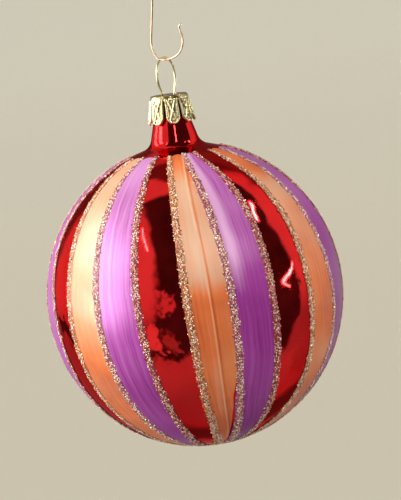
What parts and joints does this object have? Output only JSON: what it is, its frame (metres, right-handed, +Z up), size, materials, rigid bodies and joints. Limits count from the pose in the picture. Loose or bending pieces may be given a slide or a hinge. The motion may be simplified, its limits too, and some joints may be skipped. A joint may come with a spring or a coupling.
{
  "type": "glass ball ornament",
  "caption": "Blown glass ball ornament with painted lengthwise bands and glitter lines, a crown cap, a wire loop hanger and a separate wire hook.",
  "frame": {"origin": "the hang point: the underside of the hook's upper bend, where a twig carries it", "axes": "+Z up along the axis of the ball and its neck; +X to the right and -Y towards someone who faces the painted front"},
  "size_m": [0.0806, 0.0807, 0.1541],
  "materials": {
    "clear_glass": "clear, polished",
    "silver_mirror": "mirror",
    "red_mirror_lacquer": "deep red, mirror gloss",
    "orange_pearl_paint": "satin pearl, brushed lengthwise",
    "purple_pearl_paint": "satin pearl, brushed lengthwise",
    "champagne_glitter": "coarse sparkling glitter",
    "cap_gold": "bright pale gold, embossed",
    "hanger_gold_wire": "bright drawn wire",
    "hook_copper_wire": "bright drawn wire, copper tone"
  },
  "bodies": {
    "hook": {"hook": "hook_copper_wire"},
    "hanger": {"hanger_wire": "hanger_gold_wire"},
    "cap": {"cap": "cap_gold"},
    "ball": {"glass_ball": "clear_glass", "silver_lining": "silver_mirror", "red_lacquer": "red_mirror_lacquer", "orange_bands": "orange_pearl_paint", "purple_bands": "purple_pearl_paint", "glitter_lines": "champagne_glitter"}
  },
  "joints": [
    {"name": "hanger_swing", "type": "hinge", "parent": "hook", "child": "hanger", "pos_m": [0, 0, -0.04798], "axis": [0.8192, -0.5736, 0], "range_deg": [-75, 75]},
    {"name": "cap_lift", "type": "slide", "parent": "hanger", "child": "cap", "axis": [0, 0, 1], "range_m": [0, 0.001]},
    {"name": "ball_pull_off", "type": "slide", "parent": "hanger", "child": "ball", "axis": [0, 0, -1], "range_m": [0, 0.028]}
  ]
}
